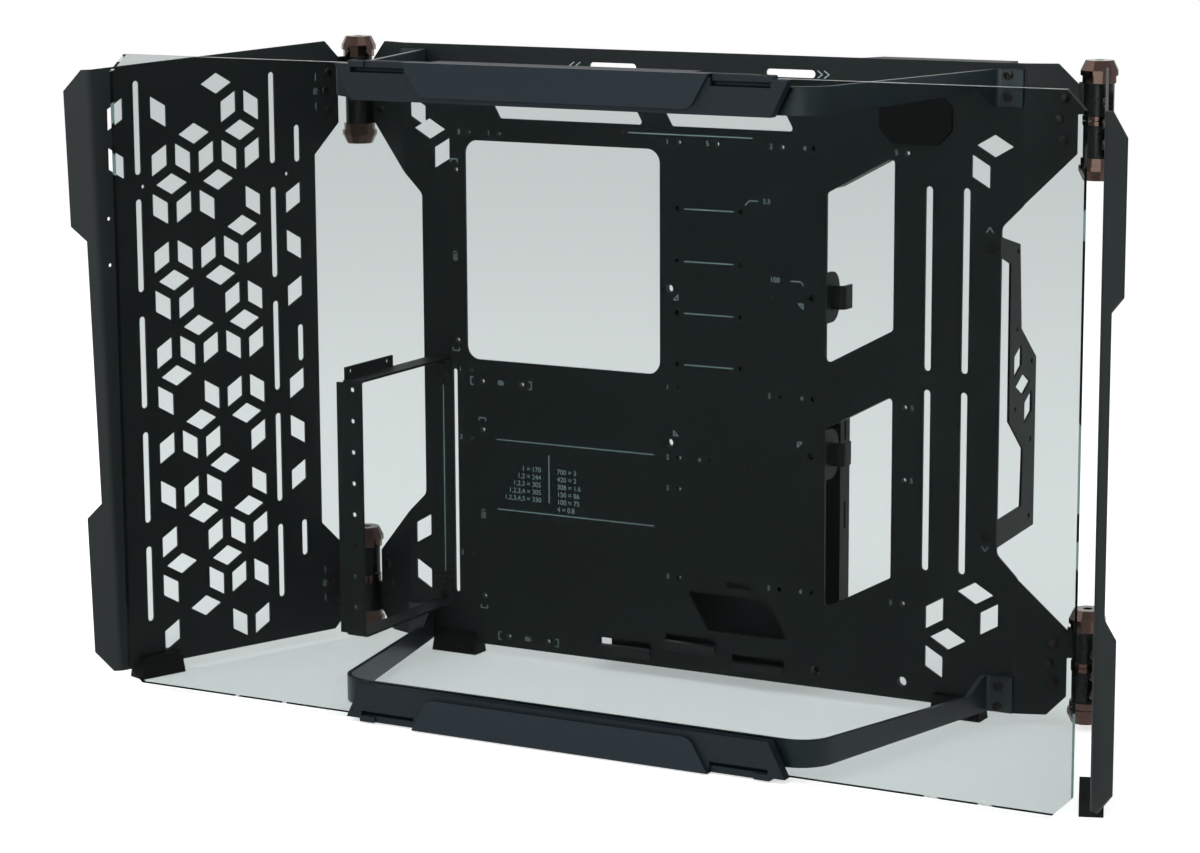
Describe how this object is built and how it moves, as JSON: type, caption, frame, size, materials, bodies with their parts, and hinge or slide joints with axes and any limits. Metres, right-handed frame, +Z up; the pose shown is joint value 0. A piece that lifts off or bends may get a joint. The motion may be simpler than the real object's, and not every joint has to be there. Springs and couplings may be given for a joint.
{
  "type": "open air test bench",
  "caption": "Open-frame computer test bench: a perforated folded board panel with swinging side wings, a glass front held by bent handles, rear brackets and rubber shoes.",
  "frame": {"origin": "middle of the footprint at rest, on the floor", "axes": "+Z up, +X to the right seen from the glass side, +Y towards the back"},
  "size_m": [0.7046, 0.2514, 0.4102],
  "materials": {
    "coated_steel": "fine-textured black powder coat",
    "clear_glass": "clear, slightly grey tempered glass",
    "grip_plastic": "blue-black, fine grain at the ends, smooth middle",
    "bronze_trim": "polished rose bronze",
    "hinge_steel": "satin black",
    "screw_steel": "black oxide",
    "soft_rubber": "matt black"
  },
  "bodies": {
    "frame": {"bottom_grip": "grip_plastic", "bottom_handle_strap": "coated_steel", "cable_plug": "soft_rubber", "card_bracket": "coated_steel", "card_bracket_screws": "screw_steel", "edge_bracket": "coated_steel", "edge_bracket_screws": "screw_steel", "front_glass": "clear_glass", "handle_screws": "screw_steel", "left_lower_hinge_nuts": "bronze_trim", "left_lower_hinge_pin": "hinge_steel", "left_lower_hinge_rings": "bronze_trim", "left_lower_panel_leaf": "hinge_steel", "left_panel_foot": "soft_rubber", "left_panel_hinge_screws": "screw_steel", "left_upper_hinge_nuts": "bronze_trim", "left_upper_hinge_pin": "hinge_steel", "left_upper_hinge_rings": "bronze_trim", "left_upper_panel_leaf": "hinge_steel", "lower_cable_clip": "coated_steel", "main_panel": "coated_steel", "rear_angle": "coated_steel", "rear_tray": "coated_steel", "right_lower_hinge_nuts": "bronze_trim", "right_lower_hinge_pin": "hinge_steel", "right_lower_hinge_rings": "bronze_trim", "right_lower_panel_leaf": "hinge_steel", "right_panel_foot": "soft_rubber", "right_panel_hinge_screws": "screw_steel", "right_upper_hinge_nuts": "bronze_trim", "right_upper_hinge_pin": "hinge_steel", "right_upper_hinge_rings": "bronze_trim", "right_upper_panel_leaf": "hinge_steel", "top_grip": "grip_plastic", "top_handle_strap": "coated_steel", "upper_cable_clip": "coated_steel"},
    "left_wing": {"left_lower_wing_leaf": "hinge_steel", "left_upper_wing_leaf": "hinge_steel", "left_wing_foot": "soft_rubber", "left_wing_hinge_screws": "screw_steel", "left_wing_panel": "coated_steel"},
    "right_wing": {"right_lower_wing_leaf": "hinge_steel", "right_upper_wing_leaf": "hinge_steel", "right_wing_foot": "soft_rubber", "right_wing_hinge_screws": "screw_steel", "right_wing_panel": "coated_steel"}
  },
  "joints": [
    {"name": "left_wing_swing", "type": "hinge", "parent": "frame", "child": "left_wing", "pos_m": [-0.261, 0.07638, 0.207], "axis": [0, 0, -1], "range_deg": [0, 69.7]},
    {"name": "right_wing_swing", "type": "hinge", "parent": "frame", "child": "right_wing", "pos_m": [0.261, 0.07638, 0.207], "axis": [0, 0, 1], "range_deg": [0, 69.7]}
  ]
}
